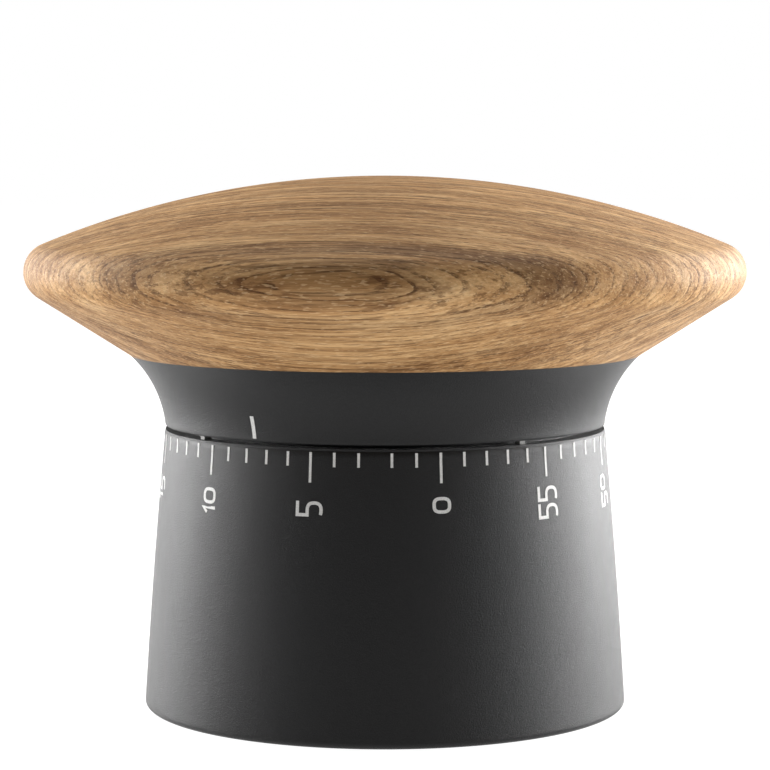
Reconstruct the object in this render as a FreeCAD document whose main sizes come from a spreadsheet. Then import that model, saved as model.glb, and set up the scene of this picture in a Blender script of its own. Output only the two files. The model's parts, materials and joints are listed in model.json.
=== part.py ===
import FreeCAD, Part
import math
import os
import Sketcher

# Mechanical kitchen timer: a lens-shaped oak knob on a flared skirt that turns on a conical base.
# Millimetres. The origin is the centre of the underside, +Z is up and the scale's 0 mark is at -Y.

document = FreeCAD.newDocument("kitchen_timer")
sheet = document.addObject("Spreadsheet::Sheet", "Sheet")

driving_dimensions = {
    # outside shapes
    "crown_level": 66.72,
    "dome_radius": 112.25,
    "rim_corner_radius": 49.01,
    "rim_fillet": 3.64,
    "wood_joint_radius": 31.93,
    "wood_joint_level": 44.57,
    "recess_clearance": 0.05,
    "skirt_foot_radius": 27.55,
    "skirt_foot_level": 35.7,
    "skirt_flare_radius": 14.3,
    "skirt_cavity_radius": 25.9,
    "skirt_web_level": 41.5,
    "spigot_radius": 22.0,
    "spigot_level": 48.0,
    "hub_radius": 6.0,
    "hub_foot_level": 36.3,
    "hub_bore_play": 0.3,
    "glide_inset": 0.4,
    "glide_width": 0.8,
    "glide_depth": 1.0,
    "glide_foot_level": 35.25,
    "glide_head_level": 37.2,
    "glide_first_angle": 23.5,
    "shell_foot_radius": 30.34,
    "shell_foot_level": 0.3,
    "shell_top_radius": 27.6,
    "shell_top_level": 34.95,
    "shell_bow_radius": 1010,
    "shell_wall": 1.8,
    "shell_foot_fillet": 0.68,
    "can_wall_inner": 24.2,
    "can_wall_outer": 25.4,
    "can_foot_level": 22,
    "can_deck_level": 31.6,
    "can_deck_top": 33.4,
    "can_flange_top": 35.2,
    "can_collar_top": 37.2,
    "foot_ring_inner": 24,
    "foot_ring_outer": 28,
    "cover_level": 0.9,
    "cover_top": 2.4,
    "cover_radius": 28.2,
    "cover_boss_place": 26.2,
    "cover_boss_radius": 2.4,
    "cover_boss_top": 12,
    "cover_boss_roof": 2,
    "sound_hole_radius": 1.3,
    "sound_hole_place": 15,
    # screws
    "screw_radius": 0.9,
    "screw_head_radius": 1.7,
    "screw_head_height": 0.8,
    "screw_play": 0.1,
    "wood_screw_radius": 1.3,
    "wood_screw_head_radius": 2.6,
    "wood_screw_head_height": 1.3,
    "wood_screw_place": 14,
    "wood_screw_tip": 53,
    "cover_screw_end_gap": 3,
    "movement_screw_end_gap": 0.2,
    # plates, pillars and spacers of the movement
    "plate_radius": 22.6,
    "lower_plate_level": 14,
    "upper_plate_level": 28,
    "plate_thickness": 1,
    "pillar_radius": 1.6,
    "pillar_tenon": 0.9,
    "pillar_place": 20.3,
    "spacer_radius": 2,
    "spacer_place": 19,
    # knob arbor and what rides on it
    "arbor_radius": 2.15,
    "arbor_flat": 1.6,
    "arbor_foot_level": 11.8,
    "arbor_top_level": 43,
    "running_play": 0.05,
    "bush_radius": 3.4,
    "bush_foot_rise": 0.2,
    "bush_head_rise": 0.1,
    "clip_level": 12.0,
    "clip_thickness": 0.4,
    "clip_groove_radius": 1.7,
    "clip_radius": 3.1,
    "clip_mouth_start": 0.6,
    "clip_mouth_half_width": 1.36,
    "ratchet_level": 19.9,
    "ratchet_thickness": 1.1,
    "ratchet_radius": 5,
    "ratchet_tooth": 0.6,
    "ratchet_teeth": 20,
    "ratchet_face_share": 0.08,
    "click_place": 7.6,
    "click_eye_radius": 1.1,
    "click_half_width": 0.35,
    "click_tip_gap": 0.15,
    "click_tip_rise": 2.5,
    "click_spring_foot_shift": 0.3,
    "click_spring_foot_rise": 4.6,
    "click_spring_foot_radius": 0.4,
    "click_spring_half_width": 0.12,
    "click_spring_tip_shift": 1.28,
    "click_spring_tip_rise": 0.2,
    "finger_level": 29.3,
    "finger_thickness": 0.8,
    "finger_length": 10.5,
    "finger_half_width": 0.6,
    "finger_hub_radius": 3.6,
    "stop_post_radius": 0.65,
    "stop_post_place": 10,
    "stop_post_rise": 0.4,
    "knob_travel_back": 46.944,
    "knob_travel_on": 298.056,
    # gear train
    "gear_module": 0.3,
    "pressure_angle": 20,
    "profile_shift": 0.4,
    "tooth_thinning": 0.04,
    "wheel_addendum": 0.6,
    "wheel_dedendum": 1.5,
    "pinion_addendum": 1.25,
    "pinion_dedendum": 0.85,
    "main_teeth": 72,
    "train_teeth": 60,
    "pinion_teeth": 10,
    "wheel_thickness": 0.8,
    "main_wheel_level": 21.2,
    "main_wheel_thickness": 1,
    "main_window_radius": 0.9,
    "main_window_place": 4.4,
    "train_window_radius": 2,
    "train_window_place": 4.8,
    "second_pinion_level": 20.8,
    "second_wheel_level": 22.8,
    "third_pinion_level": 22.6,
    "third_wheel_level": 24.6,
    "escape_pinion_level": 24.4,
    "pinion_length": 1.8,
    "escape_wheel_level": 26.5,
    "escape_wheel_thickness": 0.7,
    "staff_radius": 0.6,
    "pivot_radius": 0.4,
    "pivot_inset": 0.1,
    "shoulder_play": 0.15,
    "second_angle": 200,
    "third_place": 12.6,
    "escape_place": 13.2,
    "balance_place": 14,
    # escapement
    "escape_teeth": 15,
    "escape_tip_radius": 4,
    "escape_root_radius": 3,
    "escape_tip_half_angle": 0.8,
    "escape_root_half_angle": 7,
    "anchor_distance": 6,
    "pallet_radius": 4.31,
    "pallet_angle": 30,
    "pallet_pin_radius": 0.25,
    "pallet_pin_drop": 0.9,
    "anchor_level": 27.3,
    "anchor_thickness": 0.5,
    "anchor_half_width": 0.4,
    "anchor_hub_radius": 1.2,
    "balance_radius": 5,
    "balance_rim": 1.2,
    "balance_level": 22.8,
    "balance_thickness": 1,
    "balance_hub_radius": 1.3,
    "balance_spoke_half_width": 0.5,
    "balance_spoke_root": 0.3,
    "hairspring_level": 20.2,
    "hairspring_height": 0.3,
    "hairspring_outer": 2.4,
    "hairspring_inner": 0.75,
    "hairspring_turns": 5,
    "hairspring_strip": 0.08,
    "hairspring_stud_gap": 0.4,
    "hairspring_stud_radius": 0.35,
    # springs
    "mainspring_level": 16,
    "mainspring_height": 3.6,
    "mainspring_outer": 10.6,
    "mainspring_turns": 7,
    "mainspring_strip": 0.25,
    "spring_post_place": 11.4,
    "spring_post_radius": 0.6,
    "spring_post_angle": 60,
    "spring_post_rise": 0.4,
    # alarm
    "bell_radius": 21.5,
    "bell_wall": 0.9,
    "bell_foot_level": 4.6,
    "bell_top_level": 10.4,
    "bell_corner": 2,
    "bell_post_radius": 2.5,
    "bell_screw_radius": 1.55,
    "bell_screw_head_height": 1,
    "bell_screw_end_gap": 1,
    "cam_level": 12.6,
    "cam_thickness": 1,
    "cam_tip_play": 0.06,
    "cam_step_angle": 3,
    "cam_step_top_angle": 1,
    "hammer_place": 16.5,
    "hammer_angle": 200,
    "hammer_ratio": 0.025,
    "hammer_level": 12.5,
    "hammer_thickness": 1,
    "hammer_tip_radius": 0.5,
    "hammer_tip_place": 5.5,
    "hammer_eye_radius": 1.8,
    "hammer_arm_half_width": 0.8,
    "hammer_head_arm": 12,
    "hammer_head_angle": 60,
    "hammer_head_radius": 1.5,
    "hammer_head_level": 5,
    "hammer_head_top": 9,
    "hammer_neck_radius": 0.5,
    "hammer_stud_radius": 0.9,
    "hammer_stud_head_radius": 1.5,
    "hammer_stud_head_height": 0.5,
    "hammer_stud_head_gap": 0.1,
    "hammer_spring_reach": 10,
    "hammer_spring_rise": 8.26,
    "hammer_spring_press": 3,
    "hammer_spring_gap": 0.96,
    "hammer_spring_half_width": 0.15,
    "hammer_spring_inset": 0.1,
    "hammer_spring_foot_radius": 0.6,
}

for row, (alias, number) in enumerate(driving_dimensions.items(), start=1):
    sheet.set(f"A{row}", alias)
    sheet.set(f"B{row}", str(number))
    sheet.setAlias(f"B{row}", alias)
document.recompute()


class Size:
    """A size with its number now and the sheet expression that drives it."""

    def __init__(self, number, text):
        self.number = number
        self.text = text

    def joined(self, sign, other, number):
        return Size(number, f"({self.text} {sign} {size(other).text})")

    def __add__(self, other):
        return self.joined("+", other, self.number + size(other).number)

    def __sub__(self, other):
        return self.joined("-", other, self.number - size(other).number)

    def __mul__(self, other):
        return self.joined("*", other, self.number * size(other).number)

    def __truediv__(self, other):
        return self.joined("/", other, self.number / size(other).number)

    def __radd__(self, other):
        return size(other) + self

    def __rsub__(self, other):
        return size(other) - self

    def __rmul__(self, other):
        return size(other) * self

    def __float__(self):
        return float(self.number)


def size(value):
    return value if isinstance(value, Size) else Size(value, repr(value))


def cosine(angle):
    return Size(math.cos(math.radians(size(angle).number)), f"cos({size(angle).text})")


def sine(angle):
    return Size(math.sin(math.radians(size(angle).number)), f"sin({size(angle).text})")


def root(value):
    return Size(math.sqrt(value.number), f"sqrt({value.text})")


class Sizes:
    """The sheet's cells by alias."""

    def __getattr__(self, alias):
        return Size(getattr(sheet, alias), f"Sheet.{alias}")


d = Sizes()
nodes = []
# A cutter reaches this far past what it cuts.
past = 1


def kept(thing, label):
    """Name a finished sub-part and put it on the list that is written out."""
    thing.Label = label
    nodes.append(thing)
    return thing


def bind(thing, **bound):
    for name, value in bound.items():
        thing.setExpression(name, size(value).text)
    return thing


def place(thing, x=0, y=0, z=0):
    for axis, value in zip("xyz", (x, y, z)):
        thing.setExpression(f"Placement.Base.{axis}", size(value).text)
    return thing


def polar(radius, angle):
    return radius * cosine(angle), radius * sine(angle)


def three_round(radius, first_angle):
    """Three places evenly round the axis."""
    return [polar(radius, first_angle + 120 * third) for third in range(3)]


def numbers(point):
    return tuple(float(value) for value in point)


def cylinder(radius, low, high, at=(0, 0)):
    post = document.addObject("Part::Cylinder", "cylinder")
    bind(post, Radius=radius, Height=high - low)
    return place(post, at[0], at[1], low)


def cut(base, tools):
    """Take every tool away from the base."""
    tool = tools[0]
    if len(tools) > 1:
        tool = document.addObject("Part::MultiFuse", "cutters")
        tool.Shapes = tools
    result = document.addObject("Part::Cut", "cut")
    result.Base = base
    result.Tool = tool
    return result


def fused(shapes):
    result = document.addObject("Part::MultiFuse", "fused")
    result.Shapes = shapes
    return result


def arc_centre(first, second, radius, side):
    """Centre of the arc of this radius between two points, on the side given."""
    middle = (first + second) * 0.5
    chord = second - first
    rise = math.sqrt(radius ** 2 - (chord.Length / 2) ** 2)
    across = FreeCAD.Vector(-chord.y, chord.x, 0).normalize()
    return middle + across * rise * side


def turned(name, outline, at=(0, 0), arcs=None):
    """A body revolved about the vertical axis. arcs maps a corner's index to (radius, side)."""
    arcs = arcs or {}
    body = document.addObject("PartDesign::Body", name)
    sketch = body.newObject("Sketcher::SketchObject", f"{name}_outline")
    plane = [item for item in body.Origin.OriginFeatures if item.Role == "XZ_Plane"][0]
    sketch.AttachmentSupport = [(plane, "")]
    sketch.MapMode = "FlatFace"
    corners = [FreeCAD.Vector(float(size(r)), float(size(z)), 0) for r, z in outline]
    following = corners[1:] + corners[:1]
    starts = []
    for index, (first, second) in enumerate(zip(corners, following)):
        if index in arcs:
            radius, side = arcs[index]
            centre = arc_centre(first, second, float(radius), side)
            angles = [math.atan2(p.y - centre.y, p.x - centre.x) for p in (first, second)]
            backwards = (angles[1] - angles[0]) % (2 * math.pi) > math.pi
            ends = angles[::-1] if backwards else angles
            circle = Part.Circle(centre, FreeCAD.Vector(0, 0, 1), float(radius))
            sketch.addGeometry(Part.ArcOfCircle(circle, *ends), False)
            radius_index = sketch.addConstraint(Sketcher.Constraint("Radius", index, float(radius)))
            sketch.setExpression(f"Constraints[{radius_index}]", size(radius).text)
            starts.append(2 if backwards else 1)
        else:
            sketch.addGeometry(Part.LineSegment(first, second), False)
            starts.append(1)
    for index, start in enumerate(starts):
        after = (index + 1) % len(starts)
        sketch.addConstraint(Sketcher.Constraint("Coincident", index, 3 - start, after, starts[after]))
    for index, (corner, bound) in enumerate(zip(corners, outline)):
        for kind, number, value in zip(("DistanceX", "DistanceY"), (corner.x, corner.y), bound):
            constraint = Sketcher.Constraint(kind, -1, 1, index, starts[index], number)
            constraint_index = sketch.addConstraint(constraint)
            if isinstance(value, Size):
                sketch.setExpression(f"Constraints[{constraint_index}]", value.text)
    revolution = body.newObject("PartDesign::Revolution", f"{name}_turn")
    revolution.Profile = sketch
    revolution.ReferenceAxis = (sketch, ["V_Axis"])
    revolution.Angle = 360
    place(body, at[0], at[1])
    return body


def ring(name, inner, outer, low, high, at=(0, 0)):
    return turned(name, [(inner, low), (outer, low), (outer, high), (inner, high)], at)


def fillet_edge(body, radius, level, fillet):
    """Round the one circular edge of this radius and level."""
    document.recompute()
    for index, edge in enumerate(body.Shape.Edges, start=1):
        circle = edge.Curve if isinstance(edge.Curve, Part.Circle) else None
        if circle and abs(circle.Radius - float(radius)) < 0.01:
            if abs(circle.Center.z - float(level)) < 0.01:
                solid = body.Tip
                rounded = body.newObject("PartDesign::Fillet", f"{body.Name}_fillet")
                rounded.Base = (solid, [f"Edge{index}"])
                bind(rounded, Radius=fillet)
                return
    raise ValueError(f"no edge to round on {body.Name}")


def prism(points, low, high):
    """Upright solid over a closed outline of (x, y) points."""
    corners = [FreeCAD.Vector(x, y, float(low)) for x, y in points]
    face = Part.Face(Part.makePolygon(corners + corners[:1]))
    return face.extrude(FreeCAD.Vector(0, 0, float(high) - float(low)))


def disc(radius, low, high, at=(0.0, 0.0)):
    foot = FreeCAD.Vector(float(at[0]), float(at[1]), float(low))
    return Part.makeCylinder(float(radius), float(high) - float(low), foot)


def bar(first, second, half_width, low, high):
    """Flat bar with round ends between two (x, y) points."""
    along = FreeCAD.Vector(second[0] - first[0], second[1] - first[1], 0).normalize()
    side = FreeCAD.Vector(-along.y, along.x, 0) * float(half_width)
    corners = [(first[0] - side.x, first[1] - side.y), (second[0] - side.x, second[1] - side.y),
               (second[0] + side.x, second[1] + side.y), (first[0] + side.x, first[1] + side.y)]
    ends = [disc(half_width, low, high, end) for end in (first, second)]
    return prism(corners, low, high).fuse(ends).removeSplitter()


def feature(label, shape, at=(0, 0)):
    """A sub-part whose shape is worked out here, placed at its own centre."""
    thing = document.addObject("Part::Feature", label)
    thing.Shape = shape
    place(thing, at[0], at[1])
    return kept(thing, label)


def involute(angle):
    return math.tan(angle) - angle


def gear_outline(teeth, tip, bottom, shift, first_tooth):
    """Involute tooth outline, its first tooth centred on the angle given in degrees."""
    module = float(d.gear_module)
    pressure = math.radians(float(d.pressure_angle))
    pitch_radius = module * teeth / 2
    base_radius = pitch_radius * math.cos(pressure)
    thickness = module * (math.pi / 2 + 2 * shift * math.tan(pressure)) - float(d.tooth_thinning)
    flank_steps = 4
    lowest = max(bottom, base_radius)
    radii = [lowest + (tip - lowest) * step / flank_steps for step in range(flank_steps + 1)]
    flank = []
    for radius in radii:
        at_radius = math.acos(min(1, base_radius / radius))
        half = thickness / (2 * pitch_radius) + involute(pressure) - involute(at_radius)
        flank.append((radius, half))
    if bottom < base_radius:
        flank.insert(0, (bottom, flank[0][1]))
    points = []
    for tooth in range(teeth):
        centre = math.radians(first_tooth) + 2 * math.pi * tooth / teeth
        for radius, half in flank:
            points.append((radius * math.cos(centre - half), radius * math.sin(centre - half)))
        for radius, half in reversed(flank):
            points.append((radius * math.cos(centre + half), radius * math.sin(centre + half)))
    return points


def wheel_outline(teeth, first_tooth):
    pitch_radius = float(d.gear_module) * teeth / 2
    tip = pitch_radius + float(d.wheel_addendum * d.gear_module)
    bottom = pitch_radius - float(d.wheel_dedendum * d.gear_module)
    return gear_outline(teeth, tip, bottom, -float(d.profile_shift), first_tooth)


def pinion_outline(first_tooth):
    teeth = int(d.pinion_teeth.number)
    pitch_radius = float(d.gear_module) * teeth / 2
    tip = pitch_radius + float(d.pinion_addendum * d.gear_module)
    bottom = pitch_radius - float(d.pinion_dedendum * d.gear_module)
    return gear_outline(teeth, tip, bottom, float(d.profile_shift), first_tooth)


def with_windows(wheel, hole_radius, hole_place, low, high):
    """Lighten a wheel with five round windows."""
    holes = [disc(hole_radius, low - past, high + past, polar(hole_place, 72 * fifth)) for fifth in range(5)]
    return wheel.cut(holes)


def spiral(inner, outer, turns, strip, low, high, start):
    """Flat wound strip between two radii."""
    inner, outer, strip = float(inner), float(outer), float(strip)
    turns = int(turns.number)
    steps = 36 * turns
    sides = {1: [], -1: []}
    for step in range(steps + 1):
        angle = math.radians(float(start)) + 2 * math.pi * turns * step / steps
        radius = inner + (outer - inner) * step / steps
        for side, points in sides.items():
            edge = radius + side * strip / 2
            points.append((edge * math.cos(angle), edge * math.sin(angle)))
    return prism(sides[1] + sides[-1][::-1], low, high)


# Places of the arbors: each centre distance is the sum of two pitch radii.
pinion_pitch = d.gear_module * d.pinion_teeth / 2
main_pitch = d.gear_module * d.main_teeth / 2
train_pitch = d.gear_module * d.train_teeth / 2
train_distance = train_pitch + pinion_pitch
second_place = main_pitch + pinion_pitch


def stepped(start, start_place, end_place, distance):
    """Point at end_place from the middle and at distance from start, counter-clockwise of it."""
    square = start_place * start_place + end_place * end_place - distance * distance
    along = square / (2 * start_place * end_place)
    across = root(1 - along * along)
    x, y = start
    ratio = end_place / start_place
    return ratio * (x * along - y * across), ratio * (y * along + x * across)


second_at = polar(second_place, d.second_angle)
third_at = stepped(second_at, second_place, d.third_place, train_distance)
escape_at = stepped(third_at, d.third_place, d.escape_place, train_distance)
balance_at = stepped(escape_at, d.escape_place, d.balance_place, d.anchor_distance)
arbor_places = [second_at, third_at, escape_at, balance_at]


def direction(start, end):
    """Angle in degrees of the line from one centre to another."""
    return math.degrees(math.atan2(float(end[1]) - float(start[1]), float(end[0]) - float(start[0])))


def meshed_angle(wheel_teeth, wheel_first, line):
    """First tooth angle of a pinion in mesh with a wheel, whose centres lie along line."""
    pinion_teeth = int(d.pinion_teeth.number)
    pitch = 360 / wheel_teeth
    offset = (wheel_first - line) % pitch
    return line + 180 - offset * wheel_teeth / pinion_teeth + 180 / pinion_teeth


# The oak top: dome, rim and coned underside with a round recess for the skirt's spigot.
dome_centre = d.crown_level - d.dome_radius
rim_corner_level = dome_centre + root(d.dome_radius * d.dome_radius
                                      - d.rim_corner_radius * d.rim_corner_radius)
recess_radius = d.spigot_radius + 4 * d.recess_clearance
recess_level = d.spigot_level + d.recess_clearance
oak_blank = turned("oak_blank", [
    (0, recess_level), (recess_radius, recess_level), (recess_radius, d.wood_joint_level),
    (d.wood_joint_radius, d.wood_joint_level), (d.rim_corner_radius, rim_corner_level),
    (0, d.crown_level)], arcs={4: (d.dome_radius, 1)})
fillet_edge(oak_blank, d.rim_corner_radius, rim_corner_level, d.rim_fillet)

# The flared skirt with its hub, hollow underneath.
skirt_blank = turned("skirt_blank", [
    (0, d.hub_foot_level), (d.hub_radius, d.hub_foot_level), (d.hub_radius, d.skirt_web_level),
    (d.skirt_cavity_radius, d.skirt_web_level), (d.skirt_cavity_radius, d.skirt_foot_level),
    (d.skirt_foot_radius, d.skirt_foot_level), (d.wood_joint_radius, d.wood_joint_level),
    (d.spigot_radius, d.wood_joint_level), (d.spigot_radius, d.spigot_level), (0, d.spigot_level)],
    arcs={5: (d.skirt_flare_radius, -1)})


def d_shaft(radius, low, high, flat):
    """Round shaft with a flat on its +X side."""
    round_shaft = cylinder(radius, low, high)
    keep = document.addObject("Part::Box", "shaft_flat")
    bind(keep, Length=radius + flat, Width=radius * 2, Height=high - low)
    place(keep, -1 * radius, -1 * radius, low)
    common = document.addObject("Part::Common", "shaft")
    common.Base = round_shaft
    common.Tool = keep
    return common


def glide_block(angle):
    """Small block under the skirt's edge, turned to its angle."""
    block = document.addObject("Part::Box", "glide_block")
    reach = d.skirt_cavity_radius + d.glide_inset
    bind(block, Length=d.glide_depth, Width=d.glide_width, Height=d.glide_head_level - d.glide_foot_level)
    x = reach * cosine(angle) + d.glide_width / 2 * sine(angle)
    y = reach * sine(angle) - d.glide_width / 2 * cosine(angle)
    place(block, x, y, d.glide_foot_level)
    block.setExpression("Placement.Rotation.Angle", size(angle).text)
    return block


glide_angles = [d.glide_first_angle + 90 * quarter for quarter in range(4)]
wood_screw_places = three_round(d.wood_screw_place, 30)
hub_bore = d_shaft(d.arbor_radius, d.hub_foot_level - past, d.arbor_top_level + d.hub_bore_play, d.arbor_flat)
skirt_cutters = [hub_bore]
skirt_cutters += [glide_block(angle) for angle in glide_angles]
skirt_cutters += [cylinder(d.wood_screw_radius, d.skirt_web_level - past, d.spigot_level + past, at)
                  for at in wood_screw_places]
kept(cut(skirt_blank, skirt_cutters), "knob_skirt")
kept(cut(oak_blank, [cylinder(d.wood_screw_radius, d.spigot_level - past, d.wood_screw_tip, at)
                     for at in wood_screw_places]), "oak_top")
for index, angle in enumerate(glide_angles, start=1):
    kept(glide_block(angle), f"glide_tab_{index}")


def screw(label, radius, head_radius, head_low, head_high, tip, at):
    """Pan-head screw; tip may lie above or below the head."""
    above = tip.number > head_low.number
    near, far = (head_high, head_low) if above else (head_low, head_high)
    kept(turned(label, [(0, far), (head_radius, far), (head_radius, near), (radius, near),
                        (radius, tip), (0, tip)], at), label)


for index, at in enumerate(wood_screw_places, start=1):
    screw(f"top_screw_{index}", d.wood_screw_radius, d.wood_screw_head_radius,
          d.skirt_web_level - d.wood_screw_head_height, d.skirt_web_level, d.wood_screw_tip, at)

# The base: outer shell with screw bosses, inner can, bottom cover and foot ring.
shell_blank = turned("shell_blank", [
    (d.shell_foot_radius - d.shell_wall, d.shell_foot_level), (d.shell_foot_radius, d.shell_foot_level),
    (d.shell_top_radius, d.shell_top_level), (d.shell_top_radius - d.shell_wall, d.shell_top_level)],
    arcs={1: (d.shell_bow_radius, 1)})
fillet_edge(shell_blank, d.shell_foot_radius, d.shell_foot_level, d.shell_foot_fillet)
cover_screw_places = three_round(d.cover_boss_place, 45)
bosses = [cylinder(d.cover_boss_radius, d.cover_top, d.cover_boss_top, at) for at in cover_screw_places]
boss_holes = [cylinder(d.screw_radius, d.cover_top - past, d.cover_boss_top - d.cover_boss_roof, at)
              for at in cover_screw_places]
kept(cut(fused([shell_blank] + bosses), boss_holes), "base_shell")

can_blank = turned("can_blank", [
    (d.bush_radius, d.can_deck_level), (d.can_wall_inner, d.can_deck_level),
    (d.can_wall_inner, d.can_foot_level), (d.can_wall_outer, d.can_foot_level),
    (d.can_wall_outer, d.shell_top_level), (d.skirt_foot_radius, d.shell_top_level),
    (d.skirt_foot_radius, d.can_flange_top), (d.can_wall_outer, d.can_flange_top),
    (d.can_wall_outer, d.can_collar_top), (d.can_wall_inner, d.can_collar_top),
    (d.can_wall_inner, d.can_deck_top), (d.bush_radius, d.can_deck_top)])
spacer_places = three_round(d.spacer_place, 60)
spacer_bore = d.screw_radius + d.screw_play
kept(cut(can_blank, [cylinder(spacer_bore, d.can_deck_level - past, d.can_deck_top + past, at)
                     for at in spacer_places]), "inner_can")

sound_holes = [cylinder(d.sound_hole_radius, 0, d.cover_top + past, polar(d.sound_hole_place, 30 * hour))
               for hour in range(12)]
cover_cutters = [cylinder(spacer_bore, 0, d.cover_top + past, at) for at in cover_screw_places]
cover_cutters += [cylinder(d.screw_head_radius, 0, d.cover_level + d.screw_head_height, at)
                  for at in cover_screw_places]
cover_disc = cylinder(d.cover_radius, d.cover_level, d.cover_top)
kept(cut(cover_disc, cover_cutters + sound_holes), "bottom_cover")
for index, at in enumerate(cover_screw_places, start=1):
    screw(f"cover_screw_{index}", d.screw_radius, d.screw_head_radius, d.cover_level,
          d.cover_level + d.screw_head_height, d.cover_boss_top - d.cover_screw_end_gap, at)
kept(ring("foot_ring", d.foot_ring_inner, d.foot_ring_outer, 0, d.cover_level), "foot_ring")

# The movement's frame: two plates on pillars, hung from the can's deck on spacers.
pillar_places = [polar(d.pillar_place, angle) for angle in (20, 95, 165, 285)]
pivot_hole = d.pivot_radius + d.running_play


def plate(label, level, more_cutters):
    low, high = level - past, level + d.plate_thickness + past
    cutters = [cylinder(d.bush_radius, low, high)]
    cutters += [cylinder(d.pillar_tenon, low, high, at) for at in pillar_places]
    cutters += [cylinder(pivot_hole, low, high, at) for at in arbor_places]
    kept(cut(cylinder(d.plate_radius, level, level + d.plate_thickness), cutters + more_cutters), label)


upper_plate_top = d.upper_plate_level + d.plate_thickness
lower_plate_top = d.lower_plate_level + d.plate_thickness
plate("lower_plate", d.lower_plate_level, [])
plate("upper_plate", d.upper_plate_level,
      [cylinder(d.screw_radius, d.upper_plate_level - past, upper_plate_top + past, at)
       for at in spacer_places])
for index, at in enumerate(pillar_places, start=1):
    kept(turned(f"pillar_{index}", [
        (0, d.lower_plate_level), (d.pillar_tenon, d.lower_plate_level), (d.pillar_tenon, lower_plate_top),
        (d.pillar_radius, lower_plate_top), (d.pillar_radius, d.upper_plate_level),
        (d.pillar_tenon, d.upper_plate_level), (d.pillar_tenon, upper_plate_top),
        (0, upper_plate_top)], at), f"pillar_{index}")
for index, at in enumerate(spacer_places, start=1):
    kept(ring(f"spacer_{index}", spacer_bore, d.spacer_radius, upper_plate_top, d.can_deck_level, at),
         f"spacer_{index}")
    screw(f"movement_screw_{index}", d.screw_radius, d.screw_head_radius, d.can_deck_top,
          d.can_deck_top + d.screw_head_height, d.upper_plate_level + d.movement_screw_end_gap, at)
for label, level in (("lower_bush", d.lower_plate_level), ("upper_bush", d.upper_plate_level)):
    kept(ring(label, d.arbor_radius + d.running_play, d.bush_radius, level - d.bush_foot_rise,
              level + d.plate_thickness + d.bush_head_rise), label)

# The knob's arbor with its clip, cam, ratchet, main wheel and stop finger.
clip_top = d.clip_level + d.clip_thickness
arbor_round = turned("arbor_round", [
    (0, d.arbor_foot_level), (d.arbor_radius, d.arbor_foot_level), (d.arbor_radius, d.clip_level),
    (d.clip_groove_radius, d.clip_level), (d.clip_groove_radius, clip_top), (d.arbor_radius, clip_top),
    (d.arbor_radius, d.hub_foot_level), (0, d.hub_foot_level)])
arbor_head = d_shaft(d.arbor_radius, d.hub_foot_level, d.arbor_top_level, d.arbor_flat)
kept(fused([arbor_round, arbor_head]), "main_arbor")

clip_mouth = document.addObject("Part::Box", "clip_mouth")
bind(clip_mouth, Length=d.clip_radius, Width=d.clip_mouth_half_width * 2,
     Height=d.clip_thickness + 2 * past)
place(clip_mouth, d.clip_mouth_start, d.clip_mouth_half_width * -1, d.clip_level - past)
kept(cut(ring("clip_ring", d.clip_groove_radius, d.clip_radius, d.clip_level, clip_top),
         [clip_mouth]), "arbor_clip")

arbor_hole = disc(d.arbor_radius, d.arbor_foot_level, d.arbor_top_level)
ratchet_top = d.ratchet_level + d.ratchet_thickness
tooth_count = int(d.ratchet_teeth.number)
tooth_step = 2 * math.pi / tooth_count
saw_points = []
for tooth in range(tooth_count):
    for share, radius in ((0, d.ratchet_radius), (d.ratchet_face_share, d.ratchet_radius - d.ratchet_tooth)):
        angle = tooth_step * (tooth + float(share))
        saw_points.append((float(radius) * math.cos(angle), float(radius) * math.sin(angle)))
feature("ratchet_wheel", prism(saw_points, d.ratchet_level, ratchet_top).cut(arbor_hole))

main_wheel_top = d.main_wheel_level + d.main_wheel_thickness
click_at = numbers((d.click_place, 0))
click_tip = numbers((d.ratchet_radius + d.click_tip_gap, d.click_tip_rise))
click_rivet = disc(d.staff_radius, d.ratchet_level, main_wheel_top, click_at)
click_eye = disc(d.click_eye_radius, d.ratchet_level, ratchet_top, click_at)
click_arm = bar(click_at, click_tip, d.click_half_width, d.ratchet_level, ratchet_top)
feature("click", click_arm.fuse([click_rivet, click_eye]))
click_spring_at = numbers((d.click_place + d.click_spring_foot_shift, d.click_spring_foot_rise))
click_spring_tip = numbers((click_tip[0] + d.click_spring_tip_shift, click_tip[1] + d.click_spring_tip_rise))
click_spring_foot = disc(d.click_spring_foot_radius, d.ratchet_level, d.main_wheel_level, click_spring_at)
click_leaf = bar(click_spring_at, click_spring_tip, d.click_spring_half_width, d.ratchet_level, ratchet_top)
feature("click_spring", click_leaf.fuse(click_spring_foot))

main_teeth = int(d.main_teeth.number)
train_teeth = int(d.train_teeth.number)
main_disc = prism(wheel_outline(main_teeth, 0), d.main_wheel_level, main_wheel_top)
main_cut = main_disc.cut([arbor_hole, disc(d.staff_radius, d.main_wheel_level, main_wheel_top, click_at)])
feature("main_wheel", with_windows(main_cut, d.main_window_radius, d.main_window_place,
                                   d.main_wheel_level, main_wheel_top))

finger_top = d.finger_level + d.finger_thickness
finger_tip = float(d.finger_length - d.finger_half_width)
finger = bar((0, 0), (0, finger_tip), d.finger_half_width, d.finger_level, finger_top)
finger_hub = disc(d.finger_hub_radius, d.finger_level, finger_top)
feature("stop_finger", finger.fuse(finger_hub).cut(arbor_hole))
finger_rest_angle = 90
stop_angle = finger_rest_angle + 180 - (d.knob_travel_on - d.knob_travel_back) / 2
kept(cylinder(d.stop_post_radius, upper_plate_top, finger_top + d.stop_post_rise,
              polar(d.stop_post_place, stop_angle)), "stop_post")


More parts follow.
